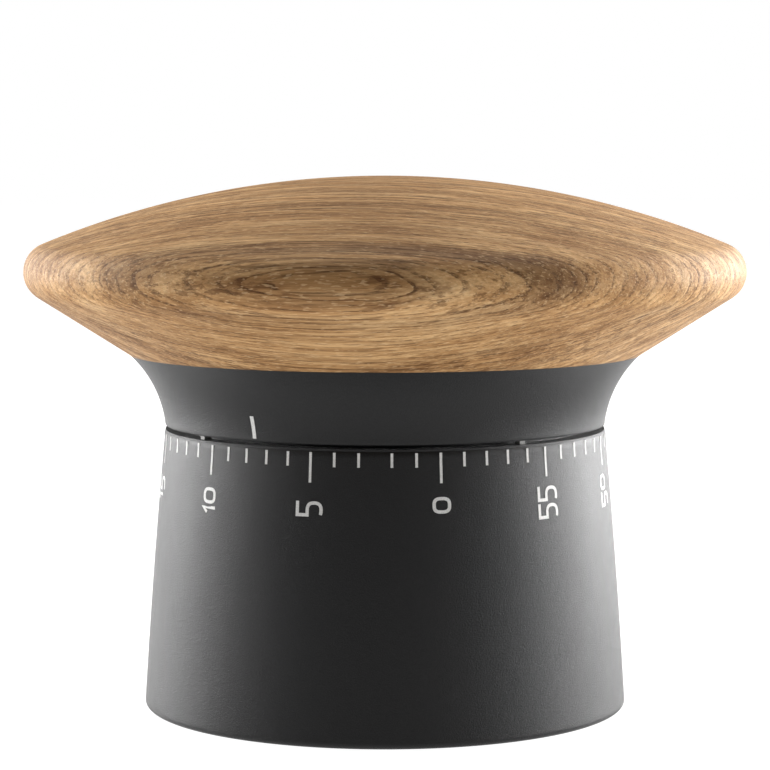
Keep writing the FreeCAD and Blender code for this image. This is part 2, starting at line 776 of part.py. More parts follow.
# The gear train.
def arbor(label, at, extra):
    """Arbor with a thin pivot at each end, and what else is cut on it."""
    body_low = lower_plate_top + d.shoulder_play
    body_high = d.upper_plate_level - d.shoulder_play
    shaft = disc(d.staff_radius, body_low, body_high)
    pivot = disc(d.pivot_radius, d.lower_plate_level + d.pivot_inset, upper_plate_top - d.pivot_inset)
    feature(label, shaft.fuse([pivot] + extra), at)


def pinion(low, first_tooth):
    return prism(pinion_outline(first_tooth), low, low + d.pinion_length)


def train_wheel(label, at, level):
    high = level + d.wheel_thickness
    wheel = prism(wheel_outline(train_teeth, 0), level, high).cut(disc(d.staff_radius, level, high))
    feature(label, with_windows(wheel, d.train_window_radius, d.train_window_place, level, high), at)


middle = (0, 0)
arbor("second_arbor", second_at,
      [pinion(d.second_pinion_level, meshed_angle(main_teeth, 0, direction(middle, second_at)))])
train_wheel("second_wheel", second_at, d.second_wheel_level)
arbor("third_arbor", third_at,
      [pinion(d.third_pinion_level, meshed_angle(train_teeth, 0, direction(second_at, third_at)))])
train_wheel("third_wheel", third_at, d.third_wheel_level)
arbor("escape_arbor", escape_at,
      [pinion(d.escape_pinion_level, meshed_angle(train_teeth, 0, direction(third_at, escape_at)))])

# The escapement: pointed wheel, anchor with two pins, and a sprung balance.
anchor_line = direction(escape_at, balance_at)
escape_teeth = int(d.escape_teeth.number)
escape_step = 360 / escape_teeth
escape_points = []
for tooth in range(escape_teeth):
    centre = anchor_line + escape_step * (tooth + 0.5)
    for offset, radius in ((-1 * d.escape_root_half_angle, d.escape_root_radius),
                           (-1 * d.escape_tip_half_angle, d.escape_tip_radius),
                           (d.escape_tip_half_angle, d.escape_tip_radius),
                           (d.escape_root_half_angle, d.escape_root_radius)):
        angle = math.radians(centre + float(offset))
        escape_points.append((float(radius) * math.cos(angle), float(radius) * math.sin(angle)))
escape_wheel_top = d.escape_wheel_level + d.escape_wheel_thickness
escape_hole = disc(d.staff_radius, d.escape_wheel_level, escape_wheel_top)
feature("escape_wheel", prism(escape_points, d.escape_wheel_level, escape_wheel_top).cut(escape_hole),
        escape_at)

arbor("balance_staff", balance_at, [])
anchor_top = d.anchor_level + d.anchor_thickness
anchor_shape = disc(d.anchor_hub_radius, d.anchor_level, anchor_top)
for side in (1, -1):
    pallet_angle = math.radians(anchor_line + side * float(d.pallet_angle))
    pin = [float(d.pallet_radius) * part + float(start) - float(end)
           for part, start, end in zip((math.cos(pallet_angle), math.sin(pallet_angle)),
                                       escape_at, balance_at)]
    arm = bar((0, 0), pin, d.anchor_half_width, d.anchor_level, anchor_top)
    pallet = disc(d.pallet_pin_radius, d.anchor_level - d.pallet_pin_drop, anchor_top, pin)
    anchor_shape = anchor_shape.fuse([arm, pallet])
feature("anchor", anchor_shape.cut(disc(d.staff_radius, d.anchor_level - past, anchor_top)), balance_at)

balance_top = d.balance_level + d.balance_thickness
balance_shape = disc(d.balance_radius, d.balance_level, balance_top)
balance_shape = balance_shape.cut(disc(d.balance_radius - d.balance_rim, d.balance_level, balance_top))
spoke_end = float(d.balance_radius - d.balance_rim + d.balance_spoke_root)
spoke = bar((-spoke_end, 0), (spoke_end, 0), d.balance_spoke_half_width, d.balance_level, balance_top)
balance_shape = balance_shape.fuse([spoke, disc(d.balance_hub_radius, d.balance_level, balance_top)])
feature("balance_wheel", balance_shape.cut(disc(d.staff_radius, d.balance_level, balance_top)), balance_at)

hairspring_top = d.hairspring_level + d.hairspring_height
feature("hairspring", spiral(d.hairspring_inner, d.hairspring_outer, d.hairspring_turns, d.hairspring_strip,
                             d.hairspring_level, hairspring_top, 0), balance_at)
stud_at = (balance_at[0] + d.hairspring_outer + d.hairspring_stud_gap, balance_at[1])
kept(cylinder(d.hairspring_stud_radius, lower_plate_top, hairspring_top, stud_at), "hairspring_stud")

# The mainspring round the arbor, hooked on a post.
mainspring_top = d.mainspring_level + d.mainspring_height
mainspring_inner = d.arbor_radius + d.mainspring_strip / 2 + d.running_play
feature("mainspring", spiral(mainspring_inner, d.mainspring_outer, d.mainspring_turns, d.mainspring_strip,
                             d.mainspring_level, mainspring_top, d.spring_post_angle))
kept(cylinder(d.spring_post_radius, lower_plate_top, mainspring_top + d.spring_post_rise,
              polar(d.spring_post_place, d.spring_post_angle)), "spring_post")

# The alarm: bell on its post, hammer on its stud, and the snail cam that lifts it.
bell_inner = d.bell_radius - d.bell_wall
bell_ceiling = d.bell_top_level - d.bell_wall
bell_inner_corner = d.bell_corner - d.bell_wall
kept(turned("bell", [
    (d.bell_screw_radius, bell_ceiling), (bell_inner - bell_inner_corner, bell_ceiling),
    (bell_inner, bell_ceiling - bell_inner_corner), (bell_inner, d.bell_foot_level),
    (d.bell_radius, d.bell_foot_level), (d.bell_radius, d.bell_top_level - d.bell_corner),
    (d.bell_radius - d.bell_corner, d.bell_top_level), (d.bell_screw_radius, d.bell_top_level)],
    arcs={1: (bell_inner_corner, -1), 5: (d.bell_corner, 1)}), "bell")
kept(ring("bell_post", d.bell_screw_radius, d.bell_post_radius, d.cover_top, bell_ceiling), "bell_post")
screw("bell_screw", d.bell_screw_radius, d.bell_post_radius, d.bell_top_level,
      d.bell_top_level + d.bell_screw_head_height, d.cover_top + d.bell_screw_end_gap, (0, 0))

hammer_at = polar(d.hammer_place, d.hammer_angle)
hammer_number = numbers(hammer_at)
tip_turn = math.degrees(math.acos(float(d.hammer_tip_place / d.hammer_place)))
tip_angle = math.radians(float(d.hammer_angle) + tip_turn)
tip_rest = (float(d.hammer_tip_place) * math.cos(tip_angle) - hammer_number[0],
            float(d.hammer_tip_place) * math.sin(tip_angle) - hammer_number[1])
head_angle = d.hammer_angle + d.hammer_head_angle
head_offset = polar(d.hammer_head_arm, head_angle)
head_rest = numbers(head_offset)
hammer_top = d.hammer_level + d.hammer_thickness
lever = bar((0, 0), tip_rest, d.hammer_tip_radius, d.hammer_level, hammer_top)
lever = lever.fuse([bar((0, 0), head_rest, d.hammer_arm_half_width, d.hammer_level, hammer_top),
                    disc(d.hammer_eye_radius, d.hammer_level, hammer_top)])
stud_hole = disc(d.hammer_stud_radius + d.running_play, d.hammer_level, hammer_top)
feature("hammer_lever", lever.cut(stud_hole), hammer_at)
head_at = (hammer_at[0] + head_offset[0], hammer_at[1] + head_offset[1])
kept(turned("hammer_head", [
    (0, d.hammer_head_level), (d.hammer_head_radius, d.hammer_head_level),
    (d.hammer_head_radius, d.hammer_head_top), (d.hammer_neck_radius, d.hammer_head_top),
    (d.hammer_neck_radius, d.hammer_level), (0, d.hammer_level)], head_at), "hammer_head")
stud_head_top = d.hammer_level - d.hammer_stud_head_gap
screw("hammer_stud", d.hammer_stud_radius, d.hammer_stud_head_radius,
      stud_head_top - d.hammer_stud_head_height, stud_head_top, d.lower_plate_level, hammer_at)

arm_length = math.hypot(*tip_rest)


def beside_arm(start, along, outward):
    """A point moved along the hammer's arm towards its stud, and outward from the timer's axis."""
    x = start[0] - along.number * tip_rest[0] / arm_length + outward.number * math.cos(tip_angle)
    y = start[1] - along.number * tip_rest[1] / arm_length + outward.number * math.sin(tip_angle)
    return x, y


tip_at = (hammer_number[0] + tip_rest[0], hammer_number[1] + tip_rest[1])
press_point = beside_arm(tip_at, d.hammer_spring_press, d.hammer_spring_gap)
spring_foot = beside_arm(press_point, -1 * d.hammer_spring_reach, d.hammer_spring_rise)
spring_low = d.hammer_level + d.hammer_spring_inset
spring_high = hammer_top - d.hammer_spring_inset
leaf = bar(spring_foot, press_point, d.hammer_spring_half_width, spring_low, spring_high)
spring_stud = disc(d.hammer_spring_foot_radius, spring_low, d.lower_plate_level, spring_foot)
feature("hammer_spring", leaf.fuse(spring_stud))

cam_points = []
travel_start = -float(d.knob_travel_back)
travel_end = float(d.knob_travel_on)
cam_steps = 115
arm_angle = math.atan2(tip_rest[1], tip_rest[0])
gap = float(d.hammer_tip_radius + d.cam_tip_play)
for step in range(cam_steps + 1):
    turn = travel_start + (travel_end - travel_start) * step / cam_steps
    swing = arm_angle + math.radians(turn * float(d.hammer_ratio))
    tip = (hammer_number[0] + arm_length * math.cos(swing), hammer_number[1] + arm_length * math.sin(swing))
    radius = math.hypot(*tip) - gap
    angle = math.atan2(tip[1], tip[0]) + math.radians(turn)
    if step == 0:
        edge = angle - math.radians(float(d.cam_step_angle))
        cam_points.append((radius * math.cos(edge), radius * math.sin(edge)))
    cam_points.append((radius * math.cos(angle), radius * math.sin(angle)))
last_edge = edge - math.radians(float(d.cam_step_top_angle))
cam_points.append((radius * math.cos(last_edge), radius * math.sin(last_edge)))
cam_top = d.cam_level + d.cam_thickness
feature("alarm_cam", prism(cam_points, d.cam_level, cam_top).cut(arbor_hole))

document.recompute()
for thing in document.Objects:
    if "Invalid" in thing.State or "Error" in thing.State:
        raise RuntimeError(f"{thing.Label} did not recompute: {thing.State}")
for node in nodes:
    if node.Shape.isNull() or not node.Shape.isValid() or len(node.Shape.Solids) != 1:
        raise RuntimeError(f"{node.Label} is not one valid solid")

os.makedirs("parts", exist_ok=True)
for node in nodes:
    node.Shape.exportStep(f"parts/{node.Label}.step")
print(len(nodes), "sub-parts written")
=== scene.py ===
# %% [markdown]
# # A wind-up kitchen timer with an oak knob
#
# The timer is a wide oak knob, shaped like a lens, on a flared black skirt. Knob and skirt turn together on
# a black cone that carries a minute scale. The working model of the timer is loaded first and stays as it
# is. Everything that is seen gets either a finish or a finer surface that takes the place of the plain one.

# %% Load the working model
import json
import math

import bmesh
import bpy
import numpy as np
from mathutils import Matrix, Vector


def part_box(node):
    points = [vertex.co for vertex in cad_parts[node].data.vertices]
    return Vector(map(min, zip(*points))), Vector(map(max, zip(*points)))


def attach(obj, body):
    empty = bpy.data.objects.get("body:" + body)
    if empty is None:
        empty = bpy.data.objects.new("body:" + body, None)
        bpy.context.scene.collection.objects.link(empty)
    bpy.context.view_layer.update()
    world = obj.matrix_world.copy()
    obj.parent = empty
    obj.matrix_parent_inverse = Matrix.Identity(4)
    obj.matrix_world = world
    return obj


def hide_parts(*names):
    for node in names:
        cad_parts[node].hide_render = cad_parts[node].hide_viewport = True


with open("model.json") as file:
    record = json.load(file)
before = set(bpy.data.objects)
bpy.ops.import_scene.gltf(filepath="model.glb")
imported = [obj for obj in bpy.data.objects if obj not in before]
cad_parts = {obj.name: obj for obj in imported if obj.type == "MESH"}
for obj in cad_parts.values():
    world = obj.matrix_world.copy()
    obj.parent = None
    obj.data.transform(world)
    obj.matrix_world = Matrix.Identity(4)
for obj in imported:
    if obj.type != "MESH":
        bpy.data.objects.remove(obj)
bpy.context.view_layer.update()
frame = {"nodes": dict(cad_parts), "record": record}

MM = 0.001

# %% [markdown]
# ## Sizes that everything shares
#
# Many places come from the working model: the ends of each piece give radii and levels. The roundness of the
# curves is stated here, because a box round a piece can't tell how its sides bend, and so are the radii of
# the joint, the skirt's lip and the base's top, and the base's wall. The outside of the timer is turned, like
# a pot on a wheel, so a radius and a height place any point of it.

# %% Radii and levels of the turned outside
shell_low, shell_high = (corner[2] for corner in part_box("base_shell"))
oak_low, oak_high = (corner[2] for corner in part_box("oak_top"))
skirt_low, skirt_high = (corner[2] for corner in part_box("knob_skirt"))
knob_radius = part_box("oak_top")[1][0]
joint_radius = 31.93 * MM
skirt_foot_radius = 27.55 * MM
shell_foot_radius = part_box("base_shell")[1][0]
shell_top_radius = 27.6 * MM
shell_wall = 1.8 * MM
rim_edge = 3.64 * MM
dome_radius = 112.25 * MM
flare_radius = 14.3 * MM
bow_radius = 1010 * MM
foot_fillet = 0.68 * MM
print("knob %.1f mm wide, %.1f mm high" % (2 * knob_radius / MM, oak_high / MM))

# %% [markdown]
# ## A surface from an outline
#
# Knob, skirt and base are surfaces of revolution: a point on the outline at radius r and height z becomes
# (r cos a, r sin a, z) for every angle a. Blender's Screw modifier or Spin tool could do this too. Worked
# out as one array it needs no modifier, and every row of the mesh can be as fine as it must be.

# %% Make meshes from arrays
sharp_edge = math.radians(40)


def mesh_object(name, points, faces):
    """A new smooth-shaded object from an array of points and an array of four-cornered faces."""
    mesh = bpy.data.meshes.new(name)
    mesh.from_pydata(points.reshape(-1, 3).tolist(), [], faces.reshape(-1, 4).tolist())
    new = bpy.data.objects.new(name, mesh)
    bpy.context.scene.collection.objects.link(new)
    work = bmesh.new()
    work.from_mesh(mesh)
    bmesh.ops.remove_doubles(work, verts=work.verts, dist=1e-8)
    bmesh.ops.recalc_face_normals(work, faces=work.faces)
    work.to_mesh(mesh)
    work.free()
    mesh.polygons.foreach_set("use_smooth", np.ones(len(mesh.polygons), dtype=bool))
    mesh.set_sharp_from_angle(angle=sharp_edge)
    return new


def grid_faces(rows, columns, close_rows=False, close_columns=False):
    """Faces of a grid of points, rows by columns, that may wrap round in either direction."""
    row = np.arange(rows if close_rows else rows - 1)[:, None]
    column = np.arange(columns if close_columns else columns - 1)[None, :]
    next_row, next_column = (row + 1) % rows, (column + 1) % columns
    corners = (row * columns + column, row * columns + next_column,
               next_row * columns + next_column, next_row * columns + column)
    return np.stack(np.broadcast_arrays(*corners), axis=-1)


def turned(name, outline, around=320):
    """Revolve an outline of (radius r, height z) rows: each becomes a ring (r cos a, r sin a, z). The outline
    is closed on itself, or runs from the axis to the axis."""
    angle = np.linspace(0, 2 * np.pi, around, endpoint=False)
    radius, height = outline[:, :1], outline[:, 1:]
    points = np.stack((radius * np.cos(angle), radius * np.sin(angle),
                       np.broadcast_to(height, (len(outline), around))), axis=-1)
    on_axis = outline[0, 0] == 0 and outline[-1, 0] == 0
    return mesh_object(name, points, grid_faces(len(outline), around, not on_axis, True))


def arc(centre, radius, start, end, count):
    """Points on a circle between two angles in radians: centre plus radius times (cos, sin)."""
    angle = np.linspace(start, end, count)
    return np.column_stack((centre[0] + radius * np.cos(angle), centre[1] + radius * np.sin(angle)))


def straight(first, second, count):
    """Evenly spaced points on a line, both ends included."""
    share = np.linspace(0, 1, count)[:, None]
    return np.asarray(first) * (1 - share) + np.asarray(second) * share


def outline_of(*runs):
    """One outline from several runs, without repeated points."""
    points = np.concatenate([np.atleast_2d(run) for run in runs]).astype(float)
    step = np.linalg.norm(np.diff(points, axis=0), axis=1)
    return points[np.concatenate(([True], step > 1e-8))]


def arc_between(first, second, radius, side, count):
    """Points on the arc of this radius between two points: the centre stands off the chord's middle by the
    square root of radius squared less half the chord squared, to the side given."""
    first, second = np.asarray(first), np.asarray(second)
    chord = second - first
    rise = math.sqrt(radius ** 2 - (chord @ chord) / 4)
    across = np.array([-chord[1], chord[0]]) / np.hypot(*chord)
    centre = (first + second) / 2 + side * rise * across
    start, end = (math.atan2(*(point - centre)[::-1]) for point in (first, second))
    end = start + (end - start + math.pi) % (2 * math.pi) - math.pi
    return arc(centre, radius, start, end, count)


print("a grid of 3 by 4 points has", grid_faces(3, 4).size // 4, "faces")

# %% [markdown]
# ## Tie a piece to the working model
#
# A new piece has to turn with the body it belongs to, so it is told which one that is. It also says which
# plain nodes it hides and stands for. All of this could be set piece by piece.
# One small helper keeps any of it from being forgotten.


# %% Dress a piece
def dress(piece, body, slot, *nodes):
    """Say which body a piece rides on and which plain nodes it stands for. The slot is not used."""
    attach(piece, body)
    if nodes:
        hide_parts(*nodes)
    return piece


print("nodes to finish or replace:", len(frame["nodes"]))

# %% [markdown]
# ## The oak top
#
# The real top is turned from one block: a shallow dome, a rounded rim and a coned underside. Dome and rim
# are two circles that touch each other, and the underside is a straight line that touches the rim's circle.
# So the rim's centre lies where both are just reached, and the underside's lean follows from it.

# %% Turn the oak top
dome_centre = np.array([0, oak_high - dome_radius])
rim_reach = knob_radius - rim_edge
rim_centre = np.array([rim_reach, dome_centre[1] + math.sqrt((dome_radius - rim_edge) ** 2 - rim_reach ** 2)])
joint_point = np.array([joint_radius, oak_low])
to_rim = rim_centre - joint_point
lean = math.atan2(to_rim[1], to_rim[0]) - math.asin(rim_edge / np.hypot(*to_rim))
dome_end = math.atan2(*(rim_centre - dome_centre)[::-1])
recess_radius, recess_top = 22.2 * MM, 48.05 * MM
rim_touch = rim_centre + rim_edge * np.array([math.sin(lean), -math.cos(lean)])
oak_outline = outline_of(
    [0, recess_top], [recess_radius, recess_top], [recess_radius, oak_low],
    straight(joint_point, rim_touch, 24),
    arc(rim_centre, rim_edge, lean - math.pi / 2, dome_end, 28),
    arc(dome_centre, dome_radius, dome_end, math.pi / 2, 72))
oak_outline[-1, 0] = 0
oak = dress(turned("oak_knob", oak_outline), "knob", "oak", "oak_top")
print("oak top: rim centre at %.2f mm, underside leans %.1f degrees"
      % (rim_centre[1] / MM, math.degrees(lean)))

# %% [markdown]
# ## The skirt under the oak
#
# The skirt is one moulding. Outside it flares up into the oak in a single hollow curve. Inside it is a cup
# over the movement, with a hub for the arbor in the middle. The lower edge is a thin lip, and its corner is
# broken by a small round, as every moulded edge is.

# %% Turn the skirt
flare = arc_between([skirt_foot_radius, skirt_low], joint_point, flare_radius, -1, 40)
lip_round = 0.12 * MM
flare[0] = flare[0] + [0, lip_round]
cavity_radius, web_level, hub_radius, hub_level = 25.9 * MM, 41.5 * MM, 6 * MM, 36.3 * MM
spigot_radius, spigot_level = 22 * MM, skirt_high
skirt_outline = outline_of(
    [0, hub_level], [hub_radius, hub_level], [hub_radius, web_level], [cavity_radius, web_level],
    [cavity_radius, skirt_low], [skirt_foot_radius - lip_round, skirt_low], flare,
    [spigot_radius, oak_low], [spigot_radius, spigot_level], [0, spigot_level])
skirt = dress(turned("flared_skirt", skirt_outline), "knob", "black_plastic", "knob_skirt")
print("skirt: %.2f mm at the lip, %.2f mm at the oak" % (skirt_foot_radius / MM, joint_radius / MM))

# %% [markdown]
# ## The base cone
#
# The base is a moulded sleeve that widens towards the foot. Its side isn't quite straight: it bows out by a
# seventh of a millimetre, which softens the light along it. The foot is rounded where it nears the table.
# The three bosses that take the bottom cover's screws stand inside the wall.

# %% Turn the base cone
boss_radius, boss_place, boss_middle, boss_height = 2.4 * MM, 26.2 * MM, 7.2 * MM, 9.6 * MM
boss_turns = (45, 165, 285)
side = arc_between([shell_foot_radius, shell_low], [shell_top_radius, shell_high], bow_radius, 1, 48)
side = side[side[:, 1] > shell_low + foot_fillet]
foot_centre = np.array([side[0, 0] - foot_fillet, shell_low + foot_fillet])
top_round = 0.06 * MM
side = side[side[:, 1] < shell_high - top_round]
shell_outline = outline_of(
    straight([shell_top_radius - shell_wall, shell_high], [shell_foot_radius - shell_wall, shell_low], 24),
    arc(foot_centre, foot_fillet, -math.pi / 2, 0, 10), side,
    [shell_top_radius, shell_high - top_round], [shell_top_radius - top_round, shell_high])
sleeve = turned("base_cone", shell_outline)
work = bmesh.new()
work.from_mesh(sleeve.data)
for turn in boss_turns:
    angle = math.radians(turn)
    centre = Matrix.Translation((boss_place * math.cos(angle), boss_place * math.sin(angle), boss_middle))
    bmesh.ops.create_cone(work, cap_ends=True, segments=48, radius1=boss_radius, radius2=boss_radius,
                          depth=boss_height, matrix=centre)
work.to_mesh(sleeve.data)
work.free()
sleeve.data.set_sharp_from_angle(angle=sharp_edge)
base = dress(sleeve, "case", "black_plastic", "base_shell")
print("base cone: %.2f mm at the foot, %.2f mm at the top" % (shell_foot_radius / MM, shell_top_radius / MM))


def shell_radius(height):
    """Radius of the base's outside at a height, read off its outline."""
    return np.interp(height, side[:, 1], side[:, 0])


def skirt_radius(height):
    """Radius of the skirt's outside at a height, read off its outline."""
    return np.interp(height, flare[:, 1], flare[:, 0])


print("half way up, the base has a radius of %.2f mm" % (shell_radius(shell_high / 2) / MM))

# %% [markdown]
# ## Print as a thin film
#
# The scale is printed in white ink. A picture mapped on the cone would do for a render, but ink has a real,
# very small thickness, and a film of real geometry stays sharp from any distance. Each stroke is a ribbon:
# a line with a width, laid on the cone. The ribbon's section is a flat box that starts inside the wall.


# %% Lay strokes on a turned surface
ink_height, ink_root = 0.02 * MM, 0.05 * MM


def stroke_section(path, width, closed):
    """Left and right borders of a stroke along a path of (across, up) points: half the width to each side,
    divided by the cosine of half the bend at a corner, which makes a mitre."""
    step = np.roll(path, -1, axis=0) - path
    if not closed:
        step[-1] = step[-2]
    along = step / np.linalg.norm(step, axis=1)[:, None]
    before = np.roll(along, 1, axis=0)
    if not closed:
        before[0] = along[0]
    mean = along + before
    mean /= np.linalg.norm(mean, axis=1)[:, None]
    normal = np.column_stack((-mean[:, 1], mean[:, 0]))
    mitre = width / 2 / np.clip(np.sum(mean * along, axis=1), 0.5, 1)
    return path + normal * mitre[:, None], path - normal * mitre[:, None]


def film(name, strokes, radius_at, reference):
    """One object from strokes, each (path, width, closed). Up is the height, and across is counted
    clockwise from the -Y side, so the angle is a quarter turn back, less across over the reference radius.
    The section's four corners stand at the surface's radius plus or minus a little."""
    points, faces, count = [], [], 0
    for path, width, closed in strokes:
        left, right = stroke_section(path, width, closed)
        across = np.stack((left[:, 0], right[:, 0], right[:, 0], left[:, 0]), axis=1)
        up = np.stack((left[:, 1], right[:, 1], right[:, 1], left[:, 1]), axis=1)
        lift = np.array([ink_height, ink_height, -ink_root, -ink_root])
        radius = radius_at(up) + lift
        angle = -math.pi / 2 - across / reference
        points.append(np.stack((radius * np.cos(angle), radius * np.sin(angle), up), axis=-1).reshape(-1, 3))
        faces.append(grid_faces(len(path), 4, closed, True).reshape(-1, 4) + count)
        if not closed:
            last = count + 4 * (len(path) - 1)
            faces.append(np.array([[count, count + 1, count + 2, count + 3],
                                   [last, last + 1, last + 2, last + 3]]))
        count += 4 * len(path)
    return mesh_object(name, np.concatenate(points), np.concatenate(faces))


print("ink stands %.2f mm proud and is rooted %.2f mm deep" % (ink_height / MM, ink_root / MM))

# %% [markdown]
# ## Numerals
#
# The numbers read upwards, with their tops towards the higher numbers. They are old-style figures: 0, 1 and
# 2 are low, and 3, 4 and 5 hang below the line. Each figure is a few strokes of one even pen, in a box as
# wide as the figure, with x along the reading direction and y up the figure. Curves are parts of squarish
# ovals, |x/a|^n + |y/b|^n = 1, which a font's designer calls superellipses.

# %% Draw the six figures
pen = 0.385 * MM
low_height, tall_height = 2.2 * MM, 3.26 * MM
figure_width, tall_width = {0: 1.94 * MM, 1: 0.95 * MM, 2: 1.7 * MM}, 1.8 * MM
figure_gap = 0.27 * MM


def oval(centre, width, height, start, end, squareness=2.6, count=20):
    """Points on a squarish oval between two angles in degrees, counted from +x towards +y."""
    angle = np.radians(np.linspace(start, end, count))
    wave = np.column_stack((np.cos(angle), np.sin(angle)))
    bent = np.sign(wave) * np.abs(wave) ** (2 / squareness)
    return np.asarray(centre) + bent * np.array([width, height]) / 2


def figure(digit):
    """Width, height and strokes of a figure, from its lower left corner. Every place is a share of the
    span or of the height between the middles of the outer strokes."""
    wide, height = figure_width.get(digit, tall_width), low_height if digit < 3 else tall_height
    left, right, foot, top = pen / 2, wide - pen / 2, pen / 2, height - pen / 2
    middle = (left + right) / 2
    span, tall = right - left, top - foot
    if digit == 0:
        ring = oval((middle, (foot + top) / 2), span, tall, 0, 360, 3, 41)[:-1]
        return wide, height, [(ring, True)]
    if digit == 1:
        flag = np.array([[left, top - 0.32 * tall], [right, top + pen / 2 * 0.6], [right, 0]])
        return wide, height, [(flag, False)]
    if digit == 2:
        bowl = oval((middle, top - 0.29 * tall), span, 0.58 * tall, 165, -32)
        tail = np.array([[left, foot], [wide, foot]])
        return wide, height, [(np.concatenate((bowl, tail)), False)]
    if digit == 3:
        waist = top - 0.42 * tall
        roof = np.array([[0, top], [right, top], [middle * 0.9, waist]])
        bowl = oval((middle, (waist + foot) / 2), span, waist - foot, 90, -150)
        return wide, height, [(np.concatenate((roof, bowl[1:])), False)]
    if digit == 4:
        stem = left + 0.7 * span
        bar = foot + 0.33 * tall
        slope = np.array([[stem, height], [left, bar], [wide, bar]])
        return wide, height, [(slope, False), (np.array([[stem, top * 0.66], [stem, 0]]), False)]
    waist = top - 0.42 * tall
    roof = np.array([[wide, top], [left, top], [left, waist]])
    bowl = oval((middle - 0.12 * span, (waist + foot) / 2), span * 1.24, waist - foot, 90, -118)
    return wide, height, [(np.concatenate((roof, bowl)), False)]


def number_strokes(value, across, up):
    """Strokes of a number that reads upwards, centred on a place of the cone: along a figure is up the
    cone, and up a figure is clockwise round it."""
    figures = [figure(int(digit)) for digit in str(value)]
    length = sum(wide for wide, *_ in figures) + figure_gap * (len(figures) - 1)
    tallest = max(height for _, height, _ in figures)
    start = up - length / 2
    strokes = []
    for wide, height, lines in figures:
        for line, closed in lines:
            rise = line[:, 1] + tallest - height
            path = np.column_stack((across + rise - tallest / 2, start + line[:, 0]))
            strokes.append((path, pen, closed))
        start += wide + figure_gap
    return strokes


print("strokes in each figure:", [len(figure(digit)[2]) for digit in range(6)])

# %% [markdown]
# ## The minute scale
#
# Sixty marks stand round the top of the cone, every fifth one twice as long, with its number under it. The
# numbers grow clockwise, seen from above. The print is put on as one strip, half a degree beside the place
# of zero, and its two ends meet at a step two degrees wider than the others, between minutes 2 and 3.

# %% Print the minute scale
minutes, number_every = 60, 5
minute_step, seam_step, seam_after, print_shift = 5.9655, 2.07, 2, -0.5
mark_width, short_mark, long_mark, mark_top_gap = 0.31 * MM, 1.68 * MM, 3.54 * MM, 0.14 * MM
number_level, zero_level = 28.2 * MM, 28.7 * MM
strokes = []
for minute in range(minutes):
    seam = seam_step if minute > seam_after else 0
    across = math.radians(print_shift + minute_step * minute + seam) * shell_top_radius
    top = shell_high - mark_top_gap
    length = short_mark if minute % number_every else long_mark
    strokes.append((straight([across, top - length], [across, top], 4), mark_width, False))
    if minute % number_every == 0:
        level = number_level if minute else zero_level
        strokes += number_strokes(minute, across, level)
scale = dress(film("minute_scale", strokes, shell_radius, shell_top_radius), "case", None)
pointer_turn, pointer_width, pointer_length, pointer_gap = 46.944, 0.5 * MM, 2.7 * MM, 0.35 * MM
across = math.radians(pointer_turn) * skirt_foot_radius
pointer_low = skirt_low + pointer_gap
pointer_path = straight([across, pointer_low], [across, pointer_low + pointer_length], 8)
pointer = dress(film("pointer_line", [(pointer_path, pointer_width, False)], skirt_radius, skirt_foot_radius),
                "knob", None)
print("scale:", len(strokes), "strokes,", len(scale.data.polygons), "faces")

# %% [markdown]
# ## Shader maths as Python
#
# A finish here is a small program that runs at every point of a surface. Wiring dozens of Math nodes by
# hand is hard to read, so one class wraps a socket and gives it plus, minus and times. Then 1 - mask adds
# the right node by itself. Every other kind of node comes from one method, with its settings and inputs.


# %% A finish and its wires
class Wire:
    """An output socket that can be used in sums."""

    def __init__(self, finish, socket):
        self.finish = finish
        self.socket = socket

    def maths(self, operation, first, second):
        """Add a Math node for one operation on two values or wires."""
        return self.finish.node("ShaderNodeMath", {"operation": operation}, {0: first, 1: second})

    def __add__(self, other):
        return self.maths("ADD", self, other)

    def __radd__(self, other):
        return self.maths("ADD", other, self)

    def __sub__(self, other):
        return self.maths("SUBTRACT", self, other)

    def __rsub__(self, other):
        return self.maths("SUBTRACT", other, self)

    def __mul__(self, other):
        return self.maths("MULTIPLY", self, other)

    def __rmul__(self, other):
        return self.maths("MULTIPLY", other, self)


